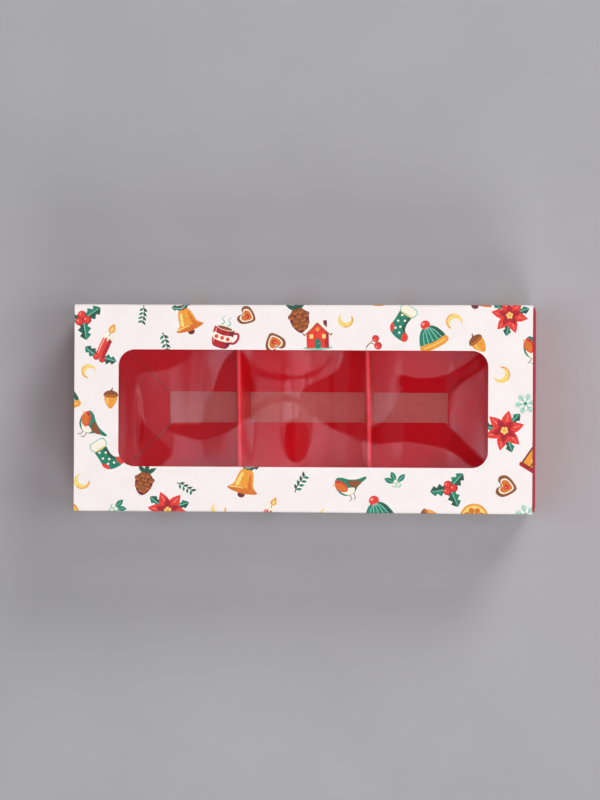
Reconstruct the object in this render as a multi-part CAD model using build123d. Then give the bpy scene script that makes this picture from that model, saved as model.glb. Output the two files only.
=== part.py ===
# Sweet box in folding card. A printed sleeve, open at both ends, has a rounded window in
# its top with clear film glued behind it. A rolled-wall tray slides through the sleeve, and
# two V-folded dividers stand loose in the tray and part it into three compartments.
# X runs along the box, Y across it and Z up. The origin is the middle of the sleeve's base.
import os
from math import cos, radians, sin

from build123d import *

# Driving dimensions of the sleeve, in millimetres
sleeve_length = 180.0
sleeve_width = 82.0
sleeve_height = 45.0
sleeve_card = 0.4
sleeve_fold_radius = 0.8
glue_flap_width = 15.0
glue_flap_end_taper = 6.0
lap_edge_inset = 0.25

# Window and its film
window_end_margin = 17.4
window_side_margin = 18.0
window_corner_radius = 6.4
film_thickness = 0.15
film_lap = 6.0

# Driving dimensions of the tray, which fits the sleeve and is cut as long as it
tray_card = 0.45
tray_fold_radius = 0.85
tray_stands_out = 1.2
side_clearance = 0.4
top_clearance = 0.4
base_clearance = 0.1

# Corner tabs, which stand between the two layers of each end wall
tab_reach = 30.0
tab_clearance = 0.05
tab_drop = 1.5
tab_corner_cut = 8.0

# Floor flaps, which end the rolled walls and leave a strip of the base bare between them
bare_strip_width = 12.7
floor_flap_lift = 0.05
floor_flap_crease_radius = 0.3
mitre_relief = 0.3
hinge_gap = 0.15

# Dividers, each one card folded to a narrow V that stands on its two feet
divider_card = 0.45
divider_crest_radius = 0.65
divider_drop = 0.9
divider_end_clearance = 0.2
divider_foot_gap = 0.05
divider_spacing = 50.8
divider_off_centre = -1.0
left_leaf_angle = 3.0
right_leaf_angle = 1.7

# One overrun for every cut
cut_overrun = 2.0

# Sizes that follow from the driving ones
tray_underside = 2 * sleeve_card + base_clearance
tray_length = sleeve_length
tray_width = sleeve_width - 2 * sleeve_card - 2 * side_clearance
tray_height = sleeve_height - sleeve_card - film_thickness - top_clearance - tray_underside
wall_gap = tray_card + 2 * tab_clearance
wall_thickness = 2 * tray_card + wall_gap
hem_radius = wall_thickness / 2
wall_top = tray_height - hem_radius
inner_half_length = tray_length / 2 - wall_thickness
inner_half_width = tray_width / 2 - wall_thickness
tab_face = tray_length / 2 - tray_card - tab_clearance
floor_flap_depth = inner_half_width - bare_strip_width / 2
floor_flap_base = tray_card + floor_flap_lift
floor_level = floor_flap_base + tray_card


def flat(low_side, high_side, low, high):
    """Straight stretch of card in a section, between two places across and two heights."""
    middle = Pos((low_side + high_side) / 2, (low + high) / 2)
    return middle * Rectangle(high_side - low_side, high - low)


def crease(side, height, outside_radius, card, towards, up):
    """Quarter turn of card about a crease; towards and up choose the quarter that it fills."""
    ring = Circle(outside_radius) - Circle(outside_radius - card)
    quarter = Pos(towards * outside_radius / 2, up * outside_radius / 2) * Rectangle(
        outside_radius, outside_radius
    )
    return Pos(side, height) * (ring & quarter)


def run_along_x(section, length):
    """A section drawn across Y and Z, run along X."""
    return extrude(Plane.YZ * section, amount=length / 2, both=True)


def run_along_y(section, length):
    """A section drawn across X and Z, run along Y."""
    return extrude(Plane.XZ * section, amount=length / 2, both=True)


# The sleeve: one sheet creased into four panels, lapped and glued along the front edge


def sleeve_top_panel():
    """Top panel with its two long creases and the rounded window."""
    fold_side = sleeve_width / 2 - sleeve_fold_radius
    fold_height = sleeve_height - sleeve_fold_radius
    section = flat(-fold_side, fold_side, sleeve_height - sleeve_card, sleeve_height)
    for side in (-1, 1):
        section += crease(side * fold_side, fold_height, sleeve_fold_radius, sleeve_card, side, 1)
    window = RectangleRounded(
        sleeve_length - 2 * window_end_margin,
        sleeve_width - 2 * window_side_margin,
        window_corner_radius,
    )
    cut = extrude(window, amount=sleeve_card + cut_overrun, both=True)
    return run_along_x(section, sleeve_length) - Pos(0, 0, sleeve_height) * cut


def sleeve_back_panel():
    """Back wall, flat between the top crease and the base crease."""
    section = flat(
        sleeve_width / 2 - sleeve_card,
        sleeve_width / 2,
        sleeve_fold_radius,
        sleeve_height - sleeve_fold_radius,
    )
    return run_along_x(section, sleeve_length)


def sleeve_front_panel():
    """Front wall, with the crease at its foot that turns in to the glue flap."""
    foot = sleeve_card + sleeve_fold_radius
    section = flat(
        -sleeve_width / 2,
        -sleeve_width / 2 + sleeve_card,
        foot,
        sleeve_height - sleeve_fold_radius,
    )
    fold_side = -sleeve_width / 2 + sleeve_fold_radius
    section += crease(fold_side, foot, sleeve_fold_radius, sleeve_card, -1, -1)
    return run_along_x(section, sleeve_length)


def sleeve_base_panel():
    """Base with the back crease; its free front edge laps under the glue flap."""
    fold_side = sleeve_width / 2 - sleeve_fold_radius
    section = flat(-sleeve_width / 2 + lap_edge_inset, fold_side, 0, sleeve_card)
    section += crease(fold_side, sleeve_fold_radius, sleeve_fold_radius, sleeve_card, 1, -1)
    return run_along_x(section, sleeve_length)


def sleeve_glue_flap():
    """Flap glued on top of the base panel, with its two ends cut at a slant."""
    crease_side = -sleeve_width / 2 + sleeve_fold_radius
    free_side = crease_side + glue_flap_width
    half_length = sleeve_length / 2
    outline = make_face(
        Polyline(
            (-half_length, crease_side),
            (half_length, crease_side),
            (half_length - glue_flap_end_taper, free_side),
            (-half_length + glue_flap_end_taper, free_side),
            close=True,
        )
    )
    return Pos(0, 0, sleeve_card) * extrude(outline, amount=sleeve_card)


def window_film():
    """Clear film, glued to the underside of the top panel all round the window."""
    sheet = Rectangle(
        sleeve_length - 2 * window_end_margin + 2 * film_lap,
        sleeve_width - 2 * window_side_margin + 2 * film_lap,
    )
    underside = sleeve_height - sleeve_card - film_thickness
    return Pos(0, 0, underside) * extrude(sheet, amount=film_thickness)


# The tray: one sheet whose walls roll over at the top and come down again inside.
# Its pieces are drawn about the middle of its own underside, for the back or right wall,
# and turned about Z for the wall across from it.


def hem(outer_face):
    """Half turn at the top of a wall, where the outer layer rolls over to the inner one."""
    middle = outer_face - hem_radius
    over = crease(middle, wall_top, hem_radius, tray_card, 1, 1)
    return over + crease(middle, wall_top, hem_radius, tray_card, -1, 1)


def tray_base_panel():
    """Flat base between the four wall creases."""
    sheet = Rectangle(tray_length - 2 * tray_fold_radius, tray_width - 2 * tray_fold_radius)
    return extrude(sheet, amount=tray_card)


def long_outer_wall():
    """Outer layer of a long wall, from the base crease up and over the hem."""
    face = tray_width / 2
    section = flat(face - tray_card, face, tray_fold_radius, wall_top) + hem(face)
    section += crease(
        face - tray_fold_radius, tray_fold_radius, tray_fold_radius, tray_card, 1, -1
    )
    return run_along_x(section, 2 * (tab_face - tray_fold_radius))


def end_outer_wall():
    """Outer layer of an end wall: full width, with a hem that fits between the long walls."""
    face = tray_length / 2
    plate = run_along_y(flat(face - tray_card, face, tray_fold_radius, wall_top), tray_width)
    foot = crease(face - tray_fold_radius, tray_fold_radius, tray_fold_radius, tray_card, 1, -1)
    plate += run_along_y(foot, tray_width - 2 * tray_fold_radius)
    return plate + run_along_y(hem(face), 2 * (inner_half_width - tab_clearance))


def long_inner_wall():
    """Inner layer of a long wall, down to the crease of its floor flap."""
    turn = floor_flap_crease_radius + tray_card
    foot = floor_flap_base + turn
    layer = flat(inner_half_width, inner_half_width + tray_card, foot, wall_top)
    bend = crease(inner_half_width - floor_flap_crease_radius, foot, turn, tray_card, 1, -1)
    wall = run_along_x(layer, 2 * (tab_face - tray_fold_radius))
    half_crease = inner_half_length - floor_flap_crease_radius - mitre_relief
    return wall + run_along_x(bend, 2 * half_crease)


def end_inner_wall():
    """Inner layer of an end wall, down to the hinge of its floor flap."""
    section = flat(
        inner_half_length, inner_half_length + tray_card, floor_flap_base, wall_top
    )
    return run_along_y(section, 2 * (inner_half_width - tab_clearance))


def corner_tab(side):
    """Tab folded off one end of a long wall, held between the layers of the right end wall."""
    fold_side = tray_width / 2 - tray_fold_radius
    low = tray_fold_radius
    high = wall_top - tab_drop
    outline = make_face(
        Polyline(
            (fold_side, low),
            (fold_side, high),
            (fold_side - tab_reach, high - tab_corner_cut / 2),
            (fold_side - tab_reach, low + tab_corner_cut),
            (fold_side - tab_reach + tab_corner_cut, low),
            close=True,
        )
    )
    plate = Pos(tab_face - tray_card, 0, 0) * extrude(Plane.YZ * outline, amount=tray_card)
    turn = crease(tab_face - tray_fold_radius, fold_side, tray_fold_radius, tray_card, 1, 1)
    tab = plate + Pos(0, 0, low) * extrude(turn, amount=high - low)
    return tab if side > 0 else mirror(tab, Plane.XZ)


def mitred_flap(half_crease, start):
    """Flat flap with both ends cut at 45 degrees, drawn with its crease side towards +Y."""
    outline = make_face(
        Polyline(
            (-half_crease + start + mitre_relief, -start),
            (half_crease - start - mitre_relief, -start),
            (half_crease - floor_flap_depth - mitre_relief, -floor_flap_depth),
            (-half_crease + floor_flap_depth + mitre_relief, -floor_flap_depth),
            close=True,
        )
    )
    return Pos(0, 0, floor_flap_base) * extrude(outline, amount=tray_card)


def long_floor_flap():
    """Floor flap that continues a long inner wall."""
    return Pos(0, inner_half_width, 0) * mitred_flap(inner_half_length, floor_flap_crease_radius)


def end_floor_flap():
    """Free floor flap of the right end wall, with a rounded bead along its crease."""
    axis = hinge_gap + tray_card / 2
    bead_length = 2 * (inner_half_width - axis - mitre_relief)
    bead = Pos(0, -axis, floor_level - tray_card / 2) * (
        Rot(0, 90, 0) * Cylinder(tray_card / 2, bead_length)
    )
    flap = mitred_flap(inner_half_width, axis) + bead
    return Pos(inner_half_length, 0, 0) * (Rot(0, 0, -90) * flap)


def divider(leaf_angle):
    """One card folded over a narrow crest; each leaf leans out by the leaf angle."""
    crest = tray_height - divider_drop - divider_crest_radius
    inside_radius = divider_crest_radius - divider_card
    lean = radians(leaf_angle)
    foot = floor_level + divider_foot_gap
    leaf_length = (crest - foot + inside_radius * sin(lean)) / cos(lean)
    section = crease(0, 0, divider_crest_radius, divider_card, 1, 1)
    section += crease(0, 0, divider_crest_radius, divider_card, -1, 1)
    leaf = flat(inside_radius, divider_crest_radius, -leaf_length, 0)
    section += Rot(0, 0, leaf_angle) * leaf
    section += Rot(0, 0, -leaf_angle) * mirror(leaf, Plane.YZ)
    return run_along_y(Pos(0, crest) * section, 2 * (inner_half_width - divider_end_clearance))


def turned(solid):
    """The same piece for the wall across the tray."""
    return Rot(0, 0, 180) * solid


pieces = {
    "sleeve_top_panel": sleeve_top_panel(),
    "sleeve_front_panel": sleeve_front_panel(),
    "sleeve_back_panel": sleeve_back_panel(),
    "sleeve_base_panel": sleeve_base_panel(),
    "sleeve_glue_flap": sleeve_glue_flap(),
    "window_film": window_film(),
}

tray_pieces = {
    "tray_base_panel": tray_base_panel(),
    "tray_back_outer_wall": long_outer_wall(),
    "tray_front_outer_wall": turned(long_outer_wall()),
    "tray_right_outer_wall": end_outer_wall(),
    "tray_left_outer_wall": turned(end_outer_wall()),
    "tray_back_inner_wall": long_inner_wall(),
    "tray_front_inner_wall": turned(long_inner_wall()),
    "tray_right_inner_wall": end_inner_wall(),
    "tray_left_inner_wall": turned(end_inner_wall()),
    "tray_back_right_tab": corner_tab(1),
    "tray_front_right_tab": corner_tab(-1),
    "tray_front_left_tab": turned(corner_tab(1)),
    "tray_back_left_tab": turned(corner_tab(-1)),
    "tray_back_floor_flap": long_floor_flap(),
    "tray_front_floor_flap": turned(long_floor_flap()),
    "tray_right_floor_flap": end_floor_flap(),
    "tray_left_floor_flap": turned(end_floor_flap()),
    "left_divider": Pos(divider_off_centre - divider_spacing / 2, 0, 0) * divider(left_leaf_angle),
    "right_divider": Pos(divider_off_centre + divider_spacing / 2, 0, 0) * divider(right_leaf_angle),
}

tray_place = Pos(tray_stands_out, 0, tray_underside)
for name, piece in tray_pieces.items():
    pieces[name] = tray_place * piece

os.makedirs("parts", exist_ok=True)
for name, piece in pieces.items():
    export_step(piece, f"parts/{name}.step")

hinge_x = inner_half_length - hinge_gap - tray_card / 2
print("tray slides in X from", -tray_length / 2 - sleeve_length / 2 - tray_stands_out)
print("to", tray_length / 2 + sleeve_length / 2 - tray_stands_out)
print("floor flap hinges at X", tray_stands_out - hinge_x, "and", tray_stands_out + hinge_x)
print("at Z", tray_underside + floor_level - tray_card / 2)
print("compartment floor Z", tray_underside + floor_level, "hem top Z", tray_underside + tray_height)
print("tray inside half length", inner_half_length, "half width", inner_half_width)
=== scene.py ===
import random
from math import ceil, cos, pi, radians, sin

import bpy
import numpy as np
from mathutils import Matrix, Vector
from mathutils.geometry import delaunay_2d_cdt


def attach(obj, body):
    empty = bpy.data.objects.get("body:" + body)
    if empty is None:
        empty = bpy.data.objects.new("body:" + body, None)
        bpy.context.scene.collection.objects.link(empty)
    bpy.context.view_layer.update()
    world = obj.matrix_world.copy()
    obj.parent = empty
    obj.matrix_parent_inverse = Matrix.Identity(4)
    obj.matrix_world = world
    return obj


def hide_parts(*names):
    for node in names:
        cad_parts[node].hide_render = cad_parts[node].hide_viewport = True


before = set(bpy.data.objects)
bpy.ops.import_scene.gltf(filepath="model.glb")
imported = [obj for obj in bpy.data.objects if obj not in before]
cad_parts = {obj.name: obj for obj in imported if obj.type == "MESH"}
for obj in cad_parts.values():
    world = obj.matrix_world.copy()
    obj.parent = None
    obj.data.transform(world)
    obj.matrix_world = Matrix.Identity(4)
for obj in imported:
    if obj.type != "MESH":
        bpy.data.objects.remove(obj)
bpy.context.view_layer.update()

# The sleeve: one sheet of folding boxboard, coated white and printed on its outside, die-cut
# with a rounded window, creased into four panels and a glue flap, and glued into an open tube.

mm = 0.001
sleeve_half_length = 90.0
sleeve_half_width = 41.0
sleeve_height = 45.0
sleeve_card = 0.4
sleeve_fold = 0.8
sleeve_taper = 0.34
side_panel_bow = 0.12
top_panel_dip = 0.09
glue_flap_width = 15.0
glue_flap_taper = 6.0
lap_edge_inset = 0.25
window_half_length = 72.6
window_half_width = 23.0
window_corner = 6.4


def tone(code):
    """Linear colour of an sRGB hex value."""
    parts = [int(code[i:i + 2], 16) / 255 for i in (1, 3, 5)]
    return [p / 12.92 if p <= 0.04045 else ((p + 0.055) / 1.055) ** 2.4 for p in parts] + [1.0]


def add_node(tree, kind, settings=(), links=()):
    """One shader node with its settings and the links into its inputs. kind is Blender's name
    for it without ShaderNode; a link from a node means its first output."""
    made = tree.nodes.new("ShaderNode" + kind)
    for name, value in dict(settings).items():
        if isinstance(name, str) and hasattr(made, name):
            setattr(made, name, value)
        else:
            made.inputs[name].default_value = value
    for name, source in dict(links).items():
        output = source.outputs[0] if isinstance(source, bpy.types.Node) else source
        tree.links.new(output, made.inputs[name])
    return made


def new_material(name):
    """Empty material and its node tree."""
    material = bpy.data.materials.new(name)
    material.use_nodes = True
    material.node_tree.nodes.clear()
    return material, material.node_tree


def board_finish(name, face, patch, patch_size, roughness, grain=0.05, gloss=0.5,
                 stretch=(1, 1, 1)):
    """Paper or ink on paper: two close tones in patches, uneven gloss and a felt-like grain.
    patch_size is the width of the tone patches in millimetres."""
    material, tree = new_material(name)
    place = add_node(tree, "TexCoord")
    long_way = add_node(tree, "Mapping", {"Scale": stretch}, {"Vector": place.outputs["Object"]})
    patches = add_node(tree, "TexNoise",
                       {"Scale": 1 / (patch_size * mm), "Detail": 4.0, "Roughness": 0.6},
                       {"Vector": long_way})
    spread = add_node(tree, "MapRange", {"From Min": 0.38, "From Max": 0.62}, {"Value": patches})
    colour = add_node(tree, "Mix", {"data_type": "RGBA", 6: tone(face), 7: tone(patch)},
                      {0: spread})
    # Board fibres lie 0.05 mm apart; they are drawn at 0.35 mm so that they show at all.
    fibre = add_node(tree, "TexNoise", {"Scale": 1 / (0.35 * mm), "Detail": 3.0, "Roughness": 0.7},
                     {"Vector": place.outputs["Object"]})
    uneven = add_node(tree, "MapRange", {"To Min": roughness - 0.06, "To Max": roughness + 0.06},
                      {"Value": fibre})
    felt = add_node(tree, "Bump", {"Strength": grain, "Distance": 0.05 * mm}, {"Height": fibre})
    surface = add_node(tree, "BsdfPrincipled", {"IOR": 1.5, "Specular IOR Level": gloss},
                       {"Base Color": colour.outputs[2], "Roughness": uneven, "Normal": felt})
    add_node(tree, "OutputMaterial", links={"Surface": surface})
    return material


# Clay-coated boxboard: bright, a little warm, with the soft sheen of a satin varnish.
coated_white = board_finish("clay_coated_boxboard", "#F9F0EF", "#F7EDEB", 9.0, 0.42)
# The back of the board has no coat: greyer, matt and flecked with fibres.
grey_back = board_finish("uncoated_board_back", "#CFC9C1", "#BEB7AE", 1.6, 0.85, grain=0.3)
# A die-cut edge shows the pulp between the faces: matt, soft and a little darker than them.
cut_edge = board_finish("die_cut_board_edge", "#D8CFC9", "#C4B8B1", 0.8, 0.9, grain=0.3)

# Offset inks, each laid in two close tones as a painted original prints: the second tone lies
# in patches about a brush mark wide, 1.2 mm, and the varnish over them gives a slight gloss.
ink_tones = {
    "bright_red": ("#EE4338", "#E0362F"),
    "deep_red": ("#BE2430", "#A81C28"),
    "maroon": ("#7C2431", "#662029"),
    "teal": ("#22876C", "#1B7560"),
    "dark_green": ("#2A5F4B", "#234F40"),
    "mint": ("#93D2BF", "#82C6B2"),
    "gold": ("#F3A63C", "#EC9730"),
    "orange": ("#E07A2C", "#D26B25"),
    "pale_yellow": ("#FADD84", "#F6D271"),
    "brown": ("#96562F", "#834826"),
    "cream": ("#FFF6E6", "#FBECD6"),
    "blush": ("#F6AFA3", "#F09F93"),
}
inks = {
    name: board_finish("offset_ink_" + name, light, dark, 1.2, 0.38, stretch=(1, 2, 1))
    for name, (light, dark) in ink_tones.items()
}

# The drawn motifs, in millimetres. Each is a list of inked shapes, the topmost one first.


def curve_points(a, b, c, d, between):
    """Points along a smooth curve from b towards c, where a and d are the points next to them."""
    return [
        0.5 * (2 * b + (c - a) * t + (2 * a - 5 * b + 4 * c - d) * t**2
               + (3 * b - a - 3 * c + d) * t**3)
        for t in (j / between for j in range(between))
    ]


def ring(points, between=3):
    """Smooth closed outline through a few given points."""
    count = len(points)
    outline = []
    for i in range(count):
        outline += curve_points(*(Vector(points[(i + k - 1) % count]) for k in range(4)), between)
    return [tuple(p) for p in outline]


def oval(x, y, wide, high, turn=0.0, count=14):
    """Oval about a point, with its half width and half height."""
    turned = Matrix.Rotation(radians(turn), 2)
    ends = [turned @ Vector((wide * cos(2 * pi * i / count), high * sin(2 * pi * i / count)))
            for i in range(count)]
    return [(x + p.x, y + p.y) for p in ends]


def petal(x, y, length, width, turn, fullest=0.45, count=6):
    """Leaf or petal from its foot at a point to its tip, fullest part of the way along."""
    turned = Matrix.Rotation(radians(turn), 2)
    log_of_two = 0.6931
    power = log_of_two / -np.log(fullest)
    side = []
    for i in range(count + 1):
        t = i / count
        side.append((length * t, width / 2 * sin(pi * t**power)))
    both = side + [(a, -b) for a, b in side[-2:0:-1]]
    moved = [turned @ Vector(p) for p in both]
    return [(x + p.x, y + p.y) for p in moved]


def stroke(points, start, end=None, between=3):
    """Brush stroke along a curve, as wide as start and end say at its two ends."""
    end = start if end is None else end
    ends = [points[0]] + list(points) + [points[-1]]
    line = []
    for i in range(len(points) - 1):
        line += curve_points(*(Vector(ends[i + k]) for k in range(4)), between)
    line.append(Vector(points[-1]))
    left, right = [], []
    for i, p in enumerate(line):
        ahead = line[min(i + 1, len(line) - 1)] - line[max(i - 1, 0)]
        across = Vector((-ahead.y, ahead.x)).normalized()
        half = (start + (end - start) * i / (len(line) - 1)) / 2
        left.append(tuple(p + across * half))
        right.append(tuple(p - across * half))
    return left + right[::-1]


def spoke(near, far, turn):
    """The two ends of a straight line that runs outwards at an angle."""
    return [(reach * cos(radians(turn)), reach * sin(radians(turn))) for reach in (near, far)]


def toothed_leaf(x, y, length, width, turn, teeth=3):
    """Holly leaf: the whole leaf, its lighter half and its midrib, the topmost first."""
    turned = Matrix.Rotation(radians(turn), 2)
    side = [(0.0, 0.12 * width)]
    for i in range(teeth):
        t = (i + 0.6) / (teeth + 0.35)
        reach = width / 2 * (1 - 0.35 * abs(2 * t - 1))
        side.append((length * (t - 0.12), 0.52 * reach))
        side.append((length * t, reach))
    side.append((length * 0.93, 0.16 * width))
    tip = (length, 0.0)
    whole = side + [tip] + [(a, -b) for a, b in side[::-1]]
    half = [(0.0, 0.0)] + side + [tip]
    rib = stroke([(0, 0), (length * 0.5, 0.12), (length * 0.93, 0)], 0.36, 0.16)
    return [
        (ink, [(x + p.x, y + p.y) for p in (turned @ Vector(q) for q in shape)])
        for ink, shape in (("mint", rib), ("teal", half), ("dark_green", whole))
    ]


def berry(x, y, size):
    """Red berry with a glint and a shaded rim."""
    return [
        ("blush", oval(x - 0.3 * size, y + 0.35 * size, 0.24 * size, 0.17 * size, 30, 8)),
        ("bright_red", oval(x - 0.1 * size, y + 0.12 * size, 0.8 * size, 0.78 * size)),
        ("deep_red", oval(x, y, size, size)),
    ]


def holly():
    shapes = []
    for x, y in ((-1.2, -0.3), (1.2, -0.5), (0.1, 1.5)):
        shapes += berry(x, y, 1.35)
    for turn in (18, 158, 262):
        shapes += toothed_leaf(0, 0, 6.6, 4.4, turn)
    return shapes


def bell():
    shapes = []
    for turn in (25, 155):
        shapes += toothed_leaf(0, 4.4, 3.6, 2.4, turn, 2)
    shapes += berry(0, 4.7, 0.95)
    shapes += [
        ("pale_yellow", ring([(-1.5, 2.9), (-2.0, 1.2), (-2.5, -1.2), (-1.5, -1.3), (-1.1, 1.2),
                              (-0.9, 2.8)])),
        ("orange", ring([(1.3, 3.1), (2.0, 1.1), (2.5, -0.9), (3.2, -1.9), (1.5, -1.8),
                         (1.2, 0.6)])),
        ("pale_yellow", stroke([(-4.0, -2.3), (-2, -2.0), (0.2, -1.95)], 0.5, 0.25)),
        ("orange", ring([(-4.3, -2.2), (0, -1.7), (4.3, -2.2), (4.1, -3.1), (0, -3.7),
                         (-4.1, -3.1)])),
        ("gold", ring([(-0.8, 4.2), (0.8, 4.2), (2.0, 3.3), (2.6, 1.2), (3.0, -0.9), (4.1, -2.4),
                       (0, -3.0), (-4.1, -2.4), (-3.0, -0.9), (-2.6, 1.2), (-2.0, 3.3)])),
        ("maroon", oval(0, -4.0, 1.15, 1.0)),
    ]
    return shapes


def mitten():
    shapes = [("cream", oval(x, y, 0.42, 0.42, 0, 8)) for x, y in
              ((-1.3, 0.3), (0.5, 0.3), (-0.4, 1.8), (-1.3, 3.2), (0.5, 3.2), (1.4, 1.8))]
    shapes += [("teal", stroke([(-2.9, y), (0, y - 0.15), (2.9, y)], 0.42)) for y in (-2.5, -3.5)]
    shapes += [
        ("deep_red", ring([(1.7, -1.4), (2.2, 1.8), (1.3, 4.3), (2.6, 2.8), (2.8, -1.4)])),
        ("mint", ring([(-3.1, -1.8), (0, -1.5), (3.1, -1.8), (3.2, -4.0), (0, -4.4),
                       (-3.2, -4.0)])),
        ("bright_red", ring([(-2.6, -2.0), (-2.9, 1.6), (-2.0, 4.2), (0, 5.0), (2.0, 4.3),
                             (2.8, 2.0), (2.6, -2.0)])),
        ("deep_red", ring([(2.2, -1.2), (3.7, 0.2), (4.8, 2.0), (4.4, 3.1), (3.3, 2.7),
                           (2.2, 1.4)])),
    ]
    return shapes


def stocking():
    shapes = [("cream", oval(x, y, 0.4, 0.4, 0, 8)) for x, y in
              ((-0.9, 1.6), (0.9, 0.6), (-0.9, -0.6), (0.8, -1.8), (-0.3, -3.0), (1.6, -3.6))]
    shapes += [
        ("pale_yellow", stroke([(-2.1, 2.6), (0, 2.4), (2.1, 2.6)], 0.4)),
        ("cream", ring([(-2.3, 5.0), (0, 5.3), (2.4, 5.0), (2.4, 3.0), (0, 2.8), (-2.3, 3.0)])),
        ("mint", ring([(-2.6, 5.3), (0, 5.6), (2.7, 5.3), (2.7, 2.8), (0, 2.5), (-2.6, 2.8)])),
        ("bright_red", ring([(3.0, -2.5), (4.8, -3.3), (5.0, -4.7), (3.8, -5.4), (2.9, -4.2)])),
        ("bright_red", ring([(-2.1, -2.0), (-0.7, -3.0), (-0.6, -4.9), (-1.7, -4.0),
                             (-2.2, -3.0)])),
        ("dark_green", ring([(1.2, 3.0), (2.0, 3.0), (2.1, -0.2), (2.7, -1.9), (3.6, -2.6),
                             (1.9, -2.3), (1.1, -0.3)])),
        ("teal", ring([(-2.0, 4.0), (2.0, 4.0), (2.0, 0.0), (2.5, -1.9), (4.7, -3.1), (5.0, -4.6),
                       (3.8, -5.4), (0.6, -5.3), (-1.8, -3.9), (-2.1, 0.0)])),
    ]
    return shapes


def candle():
    shapes = [
        ("pale_yellow", petal(0, 4.3, 1.9, 1.0, 90, 0.35)),
        ("gold", petal(0, 3.8, 3.3, 2.0, 92, 0.35)),
        ("brown", stroke([(0, 3.0), (0.05, 4.3)], 0.22)),
        ("cream", ring([(-1.5, 3.2), (0, 3.5), (1.5, 3.2), (1.5, 2.2), (1.0, 1.9), (0.6, 2.4),
                        (0.1, 1.2), (-0.4, 2.3), (-0.9, 1.7), (-1.5, 2.1)])),
        ("blush", stroke([(-0.9, 1.6), (-0.95, -1.0), (-0.9, -3.0)], 0.4, 0.3)),
        ("deep_red", ring([(0.5, 2.6), (1.4, 2.6), (1.4, -3.6), (0.5, -3.6)], 2)),
        ("bright_red", [(-1.45, 3.0), (1.45, 3.0), (1.45, -3.8), (-1.45, -3.8)]),
    ]
    for x in (-0.9, 1.0):
        shapes += berry(x, -4.2, 0.95)
    for turn in (12, 168):
        shapes += toothed_leaf(0, -4.0, 5.2, 3.2, turn)
    return shapes


def starry_flower():
    shapes = [("pale_yellow", oval(0.8 * cos(a), 0.8 * sin(a), 0.42, 0.42, 0, 8))
              for a in (0.4, 1.7, 3.0, 4.2, 5.4)]
    shapes.append(("gold", oval(0, 0, 1.0, 1.0)))
    for turn in (20, 92, 164, 236, 308):
        shapes.append(("maroon", stroke(spoke(0.9, 2.7, turn), 0.26, 0.12)))
        shapes.append(("deep_red", petal(0, 0, 3.9, 2.1, turn)))
    for turn in (50, 110, 170, 230, 290, 350):
        shapes.append(("blush", stroke(spoke(3.0, 5.0, turn), 0.22, 0.1)))
        shapes.append(("bright_red", petal(0, 0, 6.2, 3.2, turn)))
    for turn in (20, 140, 262):
        shapes += toothed_leaf(0, 0, 6.9, 3.4, turn)
    return shapes


def lantern():
    return [
        ("maroon", stroke([(0, 2.9), (0, -3.3)], 0.32)),
        ("pale_yellow", petal(0, -2.2, 3.4, 1.7, 90, 0.35)),
        ("cream", oval(-1.3, 1.4, 0.35, 0.9, 12, 8)),
        ("gold", [(-2.2, 2.9), (2.2, 2.9), (2.6, -3.2), (-2.6, -3.2)]),
        ("maroon", [(-2.7, 3.2), (2.7, 3.2), (3.1, -3.5), (-3.1, -3.5)]),
        ("bright_red", stroke([(-2.0, 3.5), (-0.6, 4.6), (0.2, 5.0)], 0.4, 0.2)),
        ("deep_red", [(-3.4, 3.2), (3.4, 3.2), (1.2, 5.3), (-1.2, 5.3)]),
        ("deep_red", [(-3.6, -3.4), (3.6, -3.4), (3.2, -4.5), (-3.2, -4.5)]),
        ("maroon", stroke([(-0.9, 5.2), (-1.0, 6.3), (0, 7.0), (1.0, 6.3), (0.9, 5.2)], 0.36)),
    ]


def knitted_hat():
    shapes = [("mint", stroke([(x, -1.6), (0.62 * x, 1.6), (0.1 * x, 3.2)], 0.3, 0.18))
              for x in (-3.1, -1.6, 0.0, 1.6, 3.1)]
    shapes += [
        ("blush", oval(-0.5, 4.7, 0.5, 0.4, 20, 8)),
        ("bright_red", oval(0, 4.2, 1.55, 1.45)),
        ("pale_yellow", stroke([(-3.7, -2.4), (0, -2.8), (3.7, -2.4)], 0.34)),
        ("gold", ring([(-4.3, -1.4), (0, -1.9), (4.3, -1.4), (4.4, -3.4), (0, -4.0),
                       (-4.4, -3.4)])),
        ("dark_green", ring([(1.6, 2.9), (3.4, 1.2), (3.9, -1.5), (2.5, -1.7), (2.2, 0.8)])),
        ("teal", ring([(-3.9, -2.0), (-3.7, 0.8), (-2.1, 3.0), (0, 3.7), (2.1, 3.0), (3.7, 0.8),
                       (3.9, -2.0)])),
    ]
    return shapes


def cocoa_mug():
    shapes = [
        ("mint", stroke([(x, 3.6), (x + 0.7, 4.6), (x - 0.3, 5.6), (x + 0.4, 6.6)], 0.5, 0.15))
        for x in (-1.4, 0.7)
    ]
    shapes += [("bright_red", petal(x, -1.4, 1.5, 1.3, 90, 0.5, 4)) for x in (-1.9, 0, 1.9)]
    shapes += [
        ("brown", oval(0, 2.7, 2.5, 0.55)),
        ("cream", oval(0, 2.8, 3.1, 0.85)),
        ("cream", ring([(-3.1, 0.6), (0, 0.2), (3.1, 0.6), (2.9, -1.3), (0, -1.8), (-2.9, -1.3)])),
        ("blush", stroke([(-2.6, 1.9), (-2.4, -2.6)], 0.4, 0.25)),
        ("maroon", ring([(2.0, 2.0), (3.0, 2.2), (2.8, -2.4), (1.6, -3.8), (1.8, -1.0)])),
        ("deep_red", ring([(-3.2, 2.8), (0, 2.2), (3.2, 2.8), (3.1, -1.6), (2.2, -3.7), (0, -4.0),
                           (-2.2, -3.7), (-3.1, -1.6)])),
        ("deep_red", stroke([(2.8, 1.6), (4.6, 1.9), (5.0, 0.2), (4.1, -1.4), (2.7, -1.6)], 0.75)),
    ]
    return shapes


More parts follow.
